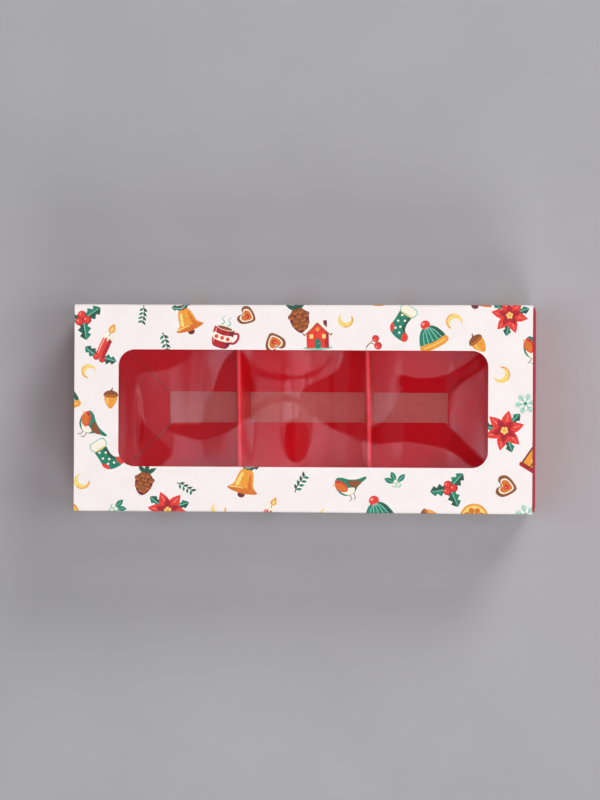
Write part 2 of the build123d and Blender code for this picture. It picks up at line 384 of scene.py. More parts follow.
def cottage():
    shapes = [("pale_yellow", [(x - 0.6, 0.7), (x + 0.6, 0.7), (x + 0.6, -0.7), (x - 0.6, -0.7)])
              for x in (-2.1, 2.1)]
    shapes += [
        ("gold", oval(0.45, -2.4, 0.2, 0.2, 0, 6)),
        ("teal", ring([(-0.9, -3.8), (-0.9, -1.4), (0, -0.8), (0.9, -1.4), (0.9, -3.8)], 2)),
        ("gold", oval(0, 2.4, 0.7, 0.7, 0, 10)),
        ("cream", stroke([(-4.6, 1.0), (-2.2, 3.2), (0, 5.2), (2.2, 3.2), (4.6, 1.0)], 1.0)),
        ("brown", stroke([(-4.7, 0.5), (-2.2, 2.8), (0, 4.8), (2.2, 2.8), (4.7, 0.5)], 1.0)),
        ("maroon", [(2.0, 5.4), (3.2, 5.4), (3.2, 2.6), (2.0, 2.6)]),
        ("deep_red", [(2.4, 1.6), (3.7, 0.9), (3.7, -3.9), (2.4, -3.9)]),
        ("bright_red", [(-3.7, 1.0), (0, 4.4), (3.7, 1.0), (3.7, -3.9), (-3.7, -3.9)]),
        ("mint", ring([(-5.0, -3.9), (-2.5, -3.4), (0, -3.8), (2.5, -3.3), (5.0, -3.9),
                       (0, -4.7)])),
    ]
    return shapes


def robin():
    return [
        ("maroon", oval(-2.6, 2.6, 0.34, 0.34, 0, 8)),
        ("gold", [(-3.9, 2.5), (-5.2, 2.0), (-3.8, 1.8)]),
        ("brown", ring([(0.2, 1.6), (2.6, 0.8), (4.4, -0.4), (2.4, -1.2), (0.6, -0.6)])),
        ("orange", ring([(-3.9, 2.2), (-3.1, 2.2), (-2.0, 1.6), (-1.2, 0.2), (-1.6, -1.0),
                         (-3.0, -0.6), (-3.9, 0.6)])),
        ("bright_red", ring([(-4.1, 2.6), (-3.0, 3.3), (-1.6, 2.2), (-0.7, 0.2), (-1.2, -1.4),
                             (-3.2, -0.8), (-4.2, 0.8)])),
        ("cream", ring([(-3.4, -0.6), (-1.2, -0.4), (1.4, -1.2), (0.6, -2.6), (-1.4, -2.8)])),
        ("teal", ring([(-4.1, 2.4), (-3.0, 3.9), (-1.2, 3.5), (0.8, 2.0), (3.4, 1.0), (6.2, 0.8),
                       (6.0, 0.0), (3.0, -1.0), (1.0, -2.6), (-1.4, -3.0), (-3.4, -1.8),
                       (-4.3, 0.6)])),
        ("brown", stroke([(-0.9, -2.8), (-1.0, -4.4), (-1.8, -4.6)], 0.26)),
        ("brown", stroke([(0.4, -2.7), (0.4, -4.4), (-0.4, -4.7)], 0.26)),
    ]


def orange_slice():
    shapes = [("orange", petal(0.5 * cos(a), 0.5 * sin(a), 3.0, 2.05, a * 180 / pi, 0.68, 4))
              for a in (2 * pi * i / 8 + 0.2 for i in range(8))]
    return shapes + [("pale_yellow", oval(0, 0, 3.9, 3.9, 0, 24)),
                     ("gold", oval(0, 0, 4.6, 4.6, 0, 24))]


def cone():
    shapes = []
    rows = ((-3.2, 1.0), (-2.0, 1.7), (-0.7, 2.2), (0.6, 2.3), (1.9, 1.8))
    for row, (y, reach) in enumerate(rows):
        count = 3 if row % 2 else 2
        for i in range(count):
            x = reach * (i - (count - 1) / 2)
            lip = [(x - 0.6, y + 0.1), (x, y - 0.35), (x + 0.6, y + 0.1)]
            shapes.append(("orange", stroke(lip, 0.3)))
            shapes.append(("brown", oval(x, y + 0.3, 1.05, 0.85, 0, 10)))
    shapes.append(("maroon", ring([(0, -4.7), (-1.8, -3.4), (-2.9, -0.6), (-2.4, 1.9), (0, 3.2),
                                   (2.4, 1.9), (2.9, -0.6), (1.8, -3.4)])))
    return shapes + [("dark_green", petal(0, 2.6, 4.0, 1.5, turn)) for turn in (40, 90, 142)]


def biscuit_heart():
    heart = [(0, -3.3), (2.2, -1.5), (3.4, 0.7), (2.7, 2.6), (1.2, 2.8), (0, 1.7), (-1.2, 2.8),
             (-2.7, 2.6), (-3.4, 0.7), (-2.2, -1.5)]
    shapes = berry(0, -0.1, 0.8)
    for ink, size in (("orange", 0.58), ("cream", 0.72), ("brown", 1)):
        shapes.append((ink, ring([(size * x, size * y) for x, y in heart])))
    return shapes


def snow_crystal():
    shapes = [("teal", oval(0, 0, 0.55, 0.55, 0, 6))]
    for i in range(6):
        turned = Matrix.Rotation(radians(60 * i), 2)
        for line in ([(0, 0), (3.6, 0)], [(1.5, 0), (2.5, 0.95)], [(1.5, 0), (2.5, -0.95)],
                     [(2.4, 0), (3.2, 0.75)], [(2.4, 0), (3.2, -0.75)]):
            moved = [tuple(turned @ Vector(p)) for p in line]
            shapes.append(("mint", stroke(moved, 0.42, 0.34, 1)))
    return shapes


def moon():
    angles = np.linspace(radians(65), radians(325), 12)
    outer = [(2.6 * cos(a), 2.6 * sin(a)) for a in angles]
    angles = np.linspace(radians(318), radians(72), 9)
    inner = [(0.95 + 1.95 * cos(a), 0.25 + 1.95 * sin(a)) for a in angles]
    shade = [(0.99 * x, 0.99 * y) for x, y in outer[5:]]
    shade += [(0.8 * x - 0.1, 0.8 * y - 0.1) for x, y in outer[:4:-1]]
    return [("gold", shade), ("pale_yellow", outer + inner)]


def leafy_sprig():
    shapes = [("dark_green", stroke([(-3.0, -1.2), (-0.6, 0.1), (3.2, 0.7)], 0.36, 0.2))]
    for i in range(4):
        for ink, turn in (("dark_green", 62), ("teal", -38)):
            shapes.append((ink, petal(-2.1 + 1.45 * i, -0.75 + 0.42 * i, 1.9, 0.85, turn - 4 * i)))
    return shapes


def white_berries():
    shapes = []
    for x, y in ((-0.7, -0.4), (0.7, -0.7), (0.1, 0.6)):
        shapes.append(("cream", oval(x - 0.15, y + 0.15, 0.6, 0.6, 0, 10)))
        shapes.append(("mint", oval(x, y, 0.85, 0.85, 0, 12)))
    for turn in (35, 145, 100):
        shapes.append(("mint", stroke(spoke(0, 3.6, turn), 0.22, 0.1)))
        shapes.append(("teal", petal(0, 0, 4.4, 1.9, turn, 0.6)))
    return shapes


def red_berries():
    shapes = berry(-1.1, -1.2, 1.3) + berry(1.3, -0.6, 1.2)
    for x, y in ((-1, -0.8), (1.2, -0.4)):
        shapes.append(("brown", stroke([(-1.6, 2.8), (0, 1.4), (x, y)], 0.28, 0.2)))
    return shapes


def acorn():
    return [
        ("maroon", stroke([(0, 2.4), (0.5, 3.5)], 0.5, 0.3)),
        ("orange", stroke([(-2.0, 1.1), (0, 0.8), (2.0, 1.1)], 0.34)),
        ("brown", ring([(-2.3, 0.7), (-2.0, 2.0), (0, 2.7), (2.0, 2.0), (2.3, 0.7), (0, 0.3)])),
        ("pale_yellow", stroke([(-1.0, 0.2), (-1.1, -1.2), (-0.6, -2.2)], 0.5, 0.2)),
        ("gold", ring([(-1.9, 0.7), (-1.8, -1.2), (-0.8, -2.8), (0, -3.4), (0.8, -2.8),
                       (1.8, -1.2), (1.9, 0.7)])),
    ]


large_motifs = [holly, bell, mitten, stocking, candle, starry_flower, lantern, knitted_hat,
                cocoa_mug, cottage, robin, orange_slice, cone]
small_motifs = [biscuit_heart, snow_crystal, moon, leafy_sprig, white_berries, red_berries, acorn,
                moon, leafy_sprig]

# The sheet laid flat: u runs along the box and v round it, from the glue flap's free edge over
# the front, top and back panels to the base panel's free edge.

quarter = pi / 2 * sleeve_fold
sleeve_runs = [
    glue_flap_width,
    sleeve_height - 2 * sleeve_fold - sleeve_card,
    2 * (sleeve_half_width - sleeve_fold),
    sleeve_height - 2 * sleeve_fold,
    2 * sleeve_half_width - sleeve_fold - lap_edge_inset,
]
fold_starts = []
reached = 0.0
for run in sleeve_runs:
    reached += run
    fold_starts.append(reached)
    reached += quarter
sheet_width = fold_starts[-1]
fold_starts = fold_starts[:-1]
top_middle = fold_starts[1] + quarter + sleeve_runs[2] / 2
flap_free_side = -sleeve_half_width + sleeve_fold + glue_flap_width


def wrapped(v):
    """Place (y, z) on the sleeve's printed face and the direction that it faces, from v."""
    y, z, heading, left = flap_free_side, sleeve_card, pi, v
    for i, run in enumerate(sleeve_runs):
        step = min(left, run)
        y, z, left = y + step * cos(heading), z + step * sin(heading), left - step
        if left <= 0 or i == len(sleeve_runs) - 1:
            break
        turn = min(left, quarter) / sleeve_fold
        middle = (y + sleeve_fold * sin(heading), z - sleeve_fold * cos(heading))
        heading -= turn
        y, z = middle[0] - sleeve_fold * sin(heading), middle[1] + sleeve_fold * cos(heading)
        left -= quarter
        if left <= 0:
            break
    return y, z, -sin(heading), cos(heading)


def soft_step(low, high, value):
    """0 below low, 1 above high, and smooth between."""
    t = min(max((value - low) / (high - low), 0.0), 1.0)
    return t * t * (3 - 2 * t)


def panel_dip(u, y):
    """How far the top panel dips at a place: a shallow wave along it, level at its long edges."""
    return top_panel_dip * (0.5 + 0.5 * sin(u / 26 + 1.1)) * soft_step(40, 24, abs(y))


def sleeve_point(u, v, depth):
    """A point of the sleeve in metres, at a depth under its printed face. The glued tube isn't
    quite square: it is a third of a millimetre narrower a side at the left end than at the
    right one, and its side panels bow inwards a little between their ends."""
    y, z, out_y, out_z = wrapped(v)
    y, z = y - depth * out_y, z - depth * out_z
    # The middle of each panel stays in its place, and its outer parts take up the taper.
    narrow = sleeve_taper * soft_step(90, -50, u)
    edge = soft_step(26, 40, abs(y))
    y -= narrow * edge * (1 if y > 0 else -1)
    upright = sin(pi * min(max(z / sleeve_height, 0), 1))
    bow = side_panel_bow * upright * soft_step(39, 40.2, abs(y))
    y -= bow * max(cos(u / sleeve_half_length * pi / 2), 0) * (1 if y > 0 else -1)
    if v > fold_starts[1] and v < fold_starts[2] + quarter:
        z -= panel_dip(u, y)
    return (u * mm, y * mm, z * mm)


rng = random.Random(12)
row_step, column_step = 11.0, 20.5
row_shake, column_shake = 1.3, 2.2
row_shift, column_shift = 0.25, -3
spare_rows = 3
# The large and the small motifs: their drawings, the most that they are turned either way, their
# sizes, and how far they reach in millimetres.
motif_kinds = {
    True: (large_motifs, 38, (1.16, 1.34), 6.8),
    False: (small_motifs, 180, (1.08, 1.28), 3.8),
}


def laid_out():
    """Motifs over the whole sheet in staggered rows, large and small by turns, as (place, turn,
    size, drawing). Those well inside the window are left out, and those on its edge are pushed
    off it."""
    found = []
    rows = int(sheet_width / row_step) + 2
    decks = {True: [], False: []}
    for row in range(rows + spare_rows):
        for column in range(-5, 6):
            stagger = column_step / 2 if row % 2 else 0
            u = column * column_step + stagger + rng.uniform(-column_shake, column_shake)
            u += column_shift
            v = top_middle + (row - rows / 2 + row_shift) * row_step
            v += rng.uniform(-row_shake, row_shake)
            large = (row // 2 + column + row) % 2 == 0
            motifs, most_turn, sizes, reach = motif_kinds[large]
            if not decks[large]:
                decks[large] = rng.sample(motifs, len(motifs))
            drawing = decks[large].pop()
            turn = rng.uniform(-most_turn, most_turn)
            size = rng.uniform(*sizes)
            over = (abs(u) - window_half_length, abs(v - top_middle) - window_half_width)
            inside = max(over)
            if inside < -0.4 * reach:
                continue
            if inside < 0.8 * reach:
                push = 0.8 * reach - inside
                if over[0] > over[1]:
                    u += push * (1 if u > 0 else -1)
                else:
                    v += push * (1 if v > top_middle else -1)
            found.append(((u, v), turn, size, drawing))
    return found


def sheet_parts(lines, outlines):
    """Corners, triangles and the triangles' middles of a sheet cut along lines and outlines."""
    cuts = list(lines)
    cuts += [[a, b] for outline in outlines for a, b in zip(outline, outline[1:] + outline[:1])]
    ends = [Vector(p) for cut in cuts for p in cut]
    pairs = [(2 * i, 2 * i + 1) for i in range(len(cuts))]
    made = delaunay_2d_cdt(ends, pairs, [], 0, 1e-4, False)
    corners = np.array([tuple(p) for p in made[0]])
    triangles = np.array(made[2])
    return corners, triangles, corners[triangles].mean(1)


def inside_outline(outline, places, order):
    """Which of the places a closed outline goes round, also where it crosses itself. order sorts
    the places across the sheet, so that only those beside the outline are tried."""
    outline = np.array(outline)
    low, high = outline.min(0), outline.max(0)
    first, last = np.searchsorted(places[:, 1], (low[1], high[1]), sorter=order)
    near = order[first:last]
    near = near[(places[near, 0] >= low[0]) & (places[near, 0] <= high[0])]
    winding = np.zeros(len(near), int)
    x, y = places[near].T
    for (ax, ay), (bx, by) in zip(outline, np.roll(outline, -1, 0)):
        left = (bx - ax) * (y - ay) - (x - ax) * (by - ay)
        winding += ((ay <= y) & (by > y) & (left > 0)).astype(int)
        winding -= ((ay > y) & (by <= y) & (left < 0)).astype(int)
    return near[winding != 0]


side_edge = sleeve_half_length
sheet_outline = [
    (-side_edge + glue_flap_taper, 0.0),
    (side_edge - glue_flap_taper, 0.0),
    (side_edge, glue_flap_width),
    (side_edge, sheet_width),
    (-side_edge, sheet_width),
    (-side_edge, glue_flap_width),
]
window_outline = []
for corner, (side, up) in enumerate(((1, 1), (-1, 1), (-1, -1), (1, -1))):
    for step in range(13):
        around = radians(90 * corner + 7.5 * step)
        window_outline.append((
            side * (window_half_length - window_corner) + window_corner * cos(around),
            top_middle + up * (window_half_width - window_corner) + window_corner * sin(around),
        ))

fold_steps = 5
grid_step = 9.0
grid_columns = 20
grid_rows = [start + quarter * i / fold_steps for start in fold_starts
             for i in range(fold_steps + 1)]
previous = 0.0
for start in fold_starts + [sheet_width]:
    count = max(1, round((start - previous) / grid_step))
    grid_rows += [previous + (start - previous) * i / count for i in range(1, count)]
    previous = start + quarter
grid_lines = [[(-side_edge - 1, v), (side_edge + 1, v)] for v in grid_rows]
for i in range(1, grid_columns):
    u = -side_edge + 2 * side_edge * i / grid_columns
    grid_lines.append([(u, -1.0), (u, sheet_width + 1)])

shape_inks = []
shape_outlines = []
for (u, v), turn, size, drawing in laid_out():
    turned = Matrix.Rotation(radians(turn), 2)
    for ink, outline in drawing():
        moved = [turned @ Vector(p) * size for p in outline]
        shape_outlines.append([(u + p.x, v + p.y) for p in moved])
        shape_inks.append(ink)


def kept_sheet(triangles, middles):
    """True for the triangles that lie on the sheet and not in the window."""
    kept = np.zeros(len(triangles), bool)
    order = np.argsort(middles[:, 1])
    kept[inside_outline(sheet_outline, middles, order)] = True
    kept[inside_outline(window_outline, middles, order)] = False
    return kept


corners, triangles, middles = sheet_parts(
    grid_lines, [sheet_outline, window_outline] + shape_outlines)
# The sleeve's slots: 0 coated white, 1 grey back, 2 cut edge, and then the inks.
ink_order = list(inks)
first_ink = 3
face_inks = np.zeros(len(triangles), int)
order = np.argsort(middles[:, 1])
for ink, outline in zip(shape_inks[::-1], shape_outlines[::-1]):
    face_inks[inside_outline(outline, middles, order)] = first_ink + ink_order.index(ink)
kept = kept_sheet(triangles, middles)
print_faces, face_inks = triangles[kept].tolist(), face_inks[kept].tolist()

# The unprinted side has the same rim and folds, without the drawing.
halves = {(a, b) for face in print_faces for a, b in zip(face, face[1:] + face[:1])}
rim_edges = [(a, b) for a, b in halves if (b, a) not in halves]
rim_edges.sort()
rim_lines = [[tuple(corners[a]), tuple(corners[b])] for a, b in rim_edges]
back_corners, back_triangles, back_middles = sheet_parts(grid_lines + rim_lines, [])
back_faces = back_triangles[kept_sheet(back_triangles, back_middles)].tolist()


def spot(p):
    """A place on the sheet, rounded so that both sides find the same one."""
    return (round(float(p[0]), 3), round(float(p[1]), 3))


back_at = {spot(p): i for i, p in enumerate(back_corners)}
front_used = sorted({i for face in print_faces for i in face})
front_index = {old: new for new, old in enumerate(front_used)}
back_used = sorted({i for face in back_faces for i in face})
back_index = {old: new + len(front_used) for new, old in enumerate(back_used)}
points = [sleeve_point(*corners[i], 0.0) for i in front_used]
points += [sleeve_point(*back_corners[i], sleeve_card) for i in back_used]
faces = [tuple(front_index[i] for i in face) for face in print_faces]
faces += [tuple(back_index[i] for i in face[::-1]) for face in back_faces]
face_inks += [1] * len(back_faces)
for a, b in rim_edges:
    under_a, under_b = (back_index[back_at[spot(corners[i])]] for i in (a, b))
    faces.append((front_index[b], front_index[a], under_a, under_b))
    face_inks.append(2)


def make_piece(name, points, faces, materials, face_materials, sharp=35):
    """Mesh object from points in metres, with a material for each face."""
    mesh = bpy.data.meshes.new(name)
    mesh.from_pydata(points, [], faces)
    for material in materials:
        mesh.materials.append(material)
    mesh.polygons.foreach_set("material_index", np.array(face_materials, np.int32))
    mesh.update()
    mesh.shade_smooth()
    mesh.set_sharp_from_angle(angle=radians(sharp))
    piece = bpy.data.objects.new(name, mesh)
    bpy.context.scene.collection.objects.link(piece)
    return piece


sleeve = make_piece("printed_sleeve", points, faces,
                    [coated_white, grey_back, cut_edge] + list(inks.values()), face_inks)
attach(sleeve, "sleeve")
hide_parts("sleeve_top_panel", "sleeve_front_panel", "sleeve_back_panel",
            "sleeve_base_panel", "sleeve_glue_flap")

# The window film: one rectangle of clear polyester film, glued to the underside of the top
# panel all round the window. It lies a little slack between its glued edges, so it mirrors the
# room in patches.

film_thickness = 0.15
film_lap = 6.0
# The sag is worked out every quarter of a millimetre, and every third place is kept.
film_raster = 0.25
film_keep = 3
# The slope between the patches that tip to the back and the rest, how soft their edges are,
# and the share of the camera's own angle by which the film is dished across the box.
film_slope = 0.036
patch_edge = 0.45
film_dish = 0.65
film_most_sag = 0.30
end_margin = 0.4
end_fade_length = 2.4
sag_blur = 0.8
view_height = 1400.0

film_half_length = window_half_length + film_lap
film_half_width = window_half_width + film_lap
film_middle = sleeve_height - sleeve_card - film_thickness / 2

# Where the slack film tips towards the back of the room, in millimetres from the middle of the
# window. The rest of it tips a little to the front.
back_tipped = [
    [(-75, 26), (-44, 26), (-45, 22), (-48.5, 18.6), (-53.2, 16.3), (-60, 14.4), (-63.7, 13.8),
     (-64.6, 12), (-64.5, 4), (-63.8, -1.4), (-61.8, -6), (-59, -9.6), (-55.9, -12.8),
     (-53.1, -16), (-52.8, -18.6), (-56.2, -22.6), (-60, -26), (-75, -26)],
    [(-26.4, 23.2), (-29.5, 20.4), (-31.9, 16.5), (-33.5, 11.7), (-35, 7), (-37, 2.6), (-38.2, -2),
     (-38.6, -6), (-44.5, -6.7), (-51.6, -6.7), (-53.9, -7.6), (-48.4, -9.9), (-42.5, -11.5),
     (-36.6, -11.5), (-30.7, -9.9), (-25.6, -7.2), (-22, -3.2), (-20.4, 2), (-20, 7.4),
     (-20, 13.3), (-21.6, 18.4), (-24, 22.4)],
    [(-2.4, -3.6), (-5.9, -5.6), (-6.7, -12.6), (-5.8, -19), (-2.4, -21.4), (1, -19), (1.7, -12.6),
     (0.8, -6.2)],
    [(16, 23.4), (24, 23.4), (24.8, 7), (24.8, -12.8), (18.4, -11.1), (12.6, -8.4), (8.2, -5.2),
     (4.2, -1.2), (1, 2.3), (-1.2, 5), (1.1, 7.8), (7.4, 11.4), (13, 14.9), (15.7, 19)],
    [(38, 13.6), (44, 12.4), (52, 12.9), (59.8, 15.2), (65.6, 18.4), (70.4, 22.4), (72.4, 22.4),
     (71.6, 18.4), (65.6, 13.6), (58.6, 7.2), (57.8, -6), (61, -10), (65.6, -15), (69.6, -19),
     (72.4, -21.8), (65.6, -21.8), (59.8, -17.4), (50, -14.4), (38, -12.8), (27, -12.8),
     (27, -7.6), (32.2, -5.2), (36.2, 1), (38, 7)],
]
back_tipped_creases = [
    ([(-22, -3.4), (-17.8, 0.6), (-13, 3.4), (-7.9, 4.4), (-3.2, 3.5), (1.1, 1.1), (5.4, -2.4),
      (9.4, -6)], 1.5),
    ([(-18.6, 15.2), (-14, 13.2), (-7.2, 12.3), (-0.4, 12.5), (5, 14.4), (9, 17.6),
      (11, 21.4)], 0.9),
]

across = np.arange(-film_half_length, film_half_length + 1e-6, film_raster)
along = np.arange(-film_half_width, film_half_width + 1e-6, film_raster)
grid_x, grid_y = np.meshgrid(across, along, indexing="ij")


def within_outline(outline):
    """True at each raster place inside a closed outline."""
    hit = np.zeros(grid_x.shape, bool)
    for (ax, ay), (bx, by) in zip(outline, outline[1:] + outline[:1]):
        if ay == by:
            continue
        crosses = (ay > grid_y) != (by > grid_y)
        hit ^= crosses & (grid_x < (bx - ax) * (grid_y - ay) / (by - ay) + ax)
    return hit


def softened(values, reach, axes=(0, 1)):
    """Values blurred over a reach in millimetres."""
    most = int(3 * reach / film_raster)
    cells = np.arange(-most, most + 1) * film_raster
    weights = np.exp(-(cells / reach) ** 2 / 2)
    weights /= weights.sum()
    for axis in axes:
        values = np.apply_along_axis(lambda row: np.convolve(row, weights, "same"), axis, values)
    return values


tips_back = np.zeros(grid_x.shape, bool)
for outline in back_tipped:
    tips_back |= within_outline(ring(outline, 5))
for line, width in back_tipped_creases:
    tips_back |= within_outline(stroke(line, width, width, 5))
front_share = softened(1.0 - tips_back, patch_edge)
open_rows = np.abs(along) <= window_half_width
front_share[:, ~open_rows] = 0
balance = front_share[:, open_rows].mean(1, keepdims=True)
tilt = film_slope * (front_share - balance) + film_dish * grid_y / (2 * view_height)
tilt = np.where(open_rows[None, :], tilt, 0.0)
tilt[:, open_rows] -= tilt[:, open_rows].mean(1, keepdims=True)
film_sag = np.cumsum(tilt, 1) * film_raster
end_fade = np.clip((window_half_length - end_margin - np.abs(across)) / end_fade_length, 0, 1)
film_sag = softened(film_sag * (end_fade**2 * (3 - 2 * end_fade))[:, None], sag_blur, (0,))
film_sag *= min(1.0, film_most_sag / np.abs(film_sag).max())
kept_x, kept_y = across[::film_keep], along[::film_keep]
kept_sag = film_sag[::film_keep, ::film_keep]


def sheet_faces(rows, columns):
    """Faces of a closed sheet made of two grids of points, one for each side: the quads of the
    first and the second side by turns, and those round its rim."""
    apart = rows * columns
    quads = []
    for i in range(rows - 1):
        for j in range(columns - 1):
            a = i * columns + j
            b = a + columns
            quads.append((a, a + 1, b + 1, b))
            quads.append(tuple(apart + k for k in (a, b, b + 1, a + 1)))
    rim = [i * columns for i in range(rows)]
    rim += [(rows - 1) * columns + j for j in range(1, columns)]
    rim += [i * columns + columns - 1 for i in range(rows - 2, -1, -1)]
    rim += range(columns - 2, 0, -1)
    return quads, [(a, b, b + apart, a + apart) for a, b in zip(rim, rim[1:] + rim[:1])]


points = []
for side in (0.5, -0.5):
    for i, x in enumerate(kept_x):
        for j, y in enumerate(kept_y):
            z = film_middle + kept_sag[i, j] + side * film_thickness - panel_dip(x, y)
            points.append((x * mm, y * mm, z * mm))
quads, rim_faces = sheet_faces(len(kept_x), len(kept_y))
faces = [face[:1] + face[:0:-1] for face in quads + rim_faces]


def clear_film():
    """Polyester film: see-through, with the mirror gloss of a calendered sheet at both faces.
    A trace of haze shows fine rub marks, which run about 3 mm."""
    material, tree = new_material("clear_polyester_film")
    place = add_node(tree, "TexCoord")
    rubs = add_node(tree, "TexNoise", {"Scale": 1 / (3 * mm), "Detail": 5.0, "Roughness": 0.7},
                    {"Vector": place.outputs["Object"]})
    blur = add_node(tree, "MapRange", {"To Min": 0.03, "To Max": 0.09}, {"Value": rubs})
    mirror = add_node(tree, "BsdfGlossy", {"Color": tone("#FFFFFF")}, {"Roughness": blur})
    through = add_node(tree, "BsdfTransparent", {"Color": tone("#FFFFFF")})
    cloud = add_node(tree, "BsdfDiffuse", {"Color": tone("#EDEEF1")})
    cloud_share = add_node(tree, "MapRange", {"To Min": 0.0002, "To Max": 0.002}, {"Value": rubs})
    body = add_node(tree, "MixShader", (), {0: cloud_share, 1: through, 2: cloud})
    # Each face mirrors 4.4% of what meets it square, and more at a glance, from above as from
    # below: the share is worked out here because a sheet this thin doesn't trap light.
    glance = add_node(tree, "LayerWeight", {"Blend": 0.5})
    steepened = add_node(tree, "Math", {"operation": "POWER", 1: 5.0},
                         {0: glance.outputs["Facing"]})
    mirrored = add_node(tree, "MapRange", {"To Min": 0.044, "To Max": 1.0}, {"Value": steepened})
    surface = add_node(tree, "MixShader", (), {0: mirrored, 1: body, 2: mirror})
    add_node(tree, "OutputMaterial", links={"Surface": surface})
    return material


film = make_piece("clear_window_film", points, faces, [clear_film()], [0] * len(faces))
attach(film, "sleeve")
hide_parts("window_film")

# The tray: one sheet of boxboard printed red on one face. Each wall rolls over at its top,
# comes down again inside and ends in a mitred floor flap, so only a strip of the base stays bare.

tray_card = 0.45
tray_half_length = 90.0
tray_half_width = 40.2
tray_middle = 1.2
tray_underside = 0.9
tray_fold = 0.85
wall_thickness = 1.45
hem_radius = wall_thickness / 2
hem_height = 43.325
flap_lift = 0.5
flap_fold = 0.3
mitre_gap = 0.05
hem_gap = 0.05
corner_ease = 0.25
crease_shoulder = 0.4
end_shoulder = 0.3
bare_strip_half_width = 6.35
# The front flap is cut a little deeper than the back one, and neither free edge is quite square.
front_flap_extra, back_flap_short = 0.75, 0.35
front_skew, back_skew = 0.0036, -0.0015
inner_half_length = tray_half_length - wall_thickness
inner_half_width = tray_half_width - wall_thickness
flap_depth = inner_half_width - bare_strip_half_width
flap_middle = tray_underside + flap_lift + tray_card / 2
long_wall_reach = 88.65
long_wall_bow, inner_wall_bow = 0.1, 0.12

# Offset red flooded over coated board: deep, warm and even, with the satin varnish's sheen.
red_print = board_finish("red_printed_boxboard", "#F60C27", "#F00823", 7.0, 0.5, gloss=0.06)
# Where the board rolls over at the top of a wall, the print is painted darker and greyer than the
# flat red: painted shade, with a grey painted sheen, on the rolled hems.
hem_print_painted_shade = board_finish("red_print_with_painted_hem_shade", "#B23D49", "#A83541", 2.5, 0.6, gloss=0.1)
# The same board's uncoated back takes a rose cast from the red pulp in it, and is matt.
rose_back = board_finish("rose_tinted_board_back", "#EE8A87", "#E88381", 2.2, 0.8, grain=0.3,
                          gloss=0.1)
# Its die-cut edge shows the same pulp between the faces.
rose_edge = board_finish("die_cut_rose_board_edge", "#D29390", "#BE7F7C", 0.8, 0.9, grain=0.3)


def folded_card(name, start, heading, moves, reaches, run, printed, settle, length_step=6.0,
                prints=None):
    """Closed piece of card from its folded section, in millimetres. moves are lengths and, for
    the folds, (degrees, radius) along the middle of the card; reaches gives half the sheet's
    length at distances along the section. run is the axis that the sheet is long in, printed
    the side of the section that is printed, and settle moves a point as the real card warps.
    Folds are divided every 15 degrees, and runs every 4 mm; one over 120 degrees is a rolled
    hem. Slots: 0 the print, 1 the rose back, 2 the cut edge, 3 the print on a rolled fold, laid
    with painted light: painted shade on a hem, a painted highlight on a crest."""
    line = [(Vector(start), radians(heading))]
    rolled = [False]
    for move in moves:
        place, angle = line[-1]
        if isinstance(move, tuple):
            count = max(2, ceil(abs(move[0]) / 15))
            turn, towards = radians(move[0]), 1 if move[0] > 0 else -1
            middle = place + towards * move[1] * Vector((-sin(angle), cos(angle)))
            for i in range(1, count + 1):
                now = angle + turn * i / count
                line.append((middle - towards * move[1] * Vector((-sin(now), cos(now))), now))
                rolled.append(abs(move[0]) > 120)
        else:
            count = max(1, ceil(move / 4))
            for i in range(1, count + 1):
                line.append((place + Vector((cos(angle), sin(angle))) * move * i / count, angle))
                rolled.append(False)
    passed = [0.0]
    for (a, _), (b, _) in zip(line, line[1:]):
        passed.append(passed[-1] + (b - a).length)
    reach = np.interp(passed, *zip(*reaches))
    steps = max(2, round(2 * max(reach) / length_step))
    points, sides = [], []
    for side in (1, -1):
        for (place, angle), half, s in zip(line, reach, passed):
            at = place + side * tray_card / 2 * Vector((-sin(angle), cos(angle)))
            for k in range(steps + 1):
                t = half * (2 * k / steps - 1)
                point = Vector((t, at.x, at.y)) if run == "x" else Vector((at.x, t, at.y))
                points.append(tuple(settle(point, s) * mm))
    faces, rim_faces = sheet_faces(len(line), steps + 1)
    for bent in rolled[1:]:
        print_side = 3 if bent else 0
        sides += ([print_side, 1] if printed == "left" else [1, print_side]) * steps
    faces += rim_faces
    sides += [2] * len(rim_faces)
    if run == "y":
        faces = [face[::-1] for face in faces]
    # The print on rolled folds carries painted light: painted shade on the tray's hems, a painted
    # highlight on the dividers' crests.
    flat_print, rolled_print_painted_light = prints or (red_print, hem_print_painted_shade)
    cards = [flat_print, rose_back, rose_edge, rolled_print_painted_light]
    return make_piece(name, points, faces, cards, sides, 50)


crease_turn = pi / 2 * (flap_fold + tray_card / 2)
hem_turn = pi * (hem_radius - tray_card / 2)
base_turn = pi / 2 * (tray_fold - tray_card / 2)
inner_rise = hem_height - (flap_middle + flap_fold + tray_card / 2)
outer_fall = hem_height - (tray_underside + tray_fold)
base_run = 2 * (tray_half_width - tray_fold)
crease_reach = inner_half_length - flap_fold - mitre_gap


def half_of_sheet(strip_edge):
    """Section from a long floor flap's free edge to the base, the reaches along it, and the two
    lengths at which its crease and the base begin."""
    depth = inner_half_width - strip_edge
    run = depth - flap_fold
    rise_starts = run + crease_turn
    base_starts = rise_starts + inner_rise + hem_turn + outer_fall + base_turn
    section = [run, (-90, flap_fold + tray_card / 2), inner_rise,
               (180, hem_radius - tray_card / 2), outer_fall, (90, tray_fold - tray_card / 2)]
    reach = [
        (0, inner_half_length - depth - mitre_gap - corner_ease),
        (run, crease_reach),
        (rise_starts, crease_reach),
        (rise_starts + crease_shoulder, long_wall_reach),
        (base_starts - base_turn, long_wall_reach),
        (base_starts, tray_half_length - tray_fold),
    ]
    return section, reach, run, base_starts


front_section, front_reaches, front_run, front_starts = half_of_sheet(
    bare_strip_half_width - front_flap_extra)
back_section, back_reaches, back_run, back_starts = half_of_sheet(
    bare_strip_half_width + back_flap_short)
whole = front_starts + base_run + back_starts
reaches = front_reaches + [(whole - s, half) for s, half in back_reaches[::-1]]


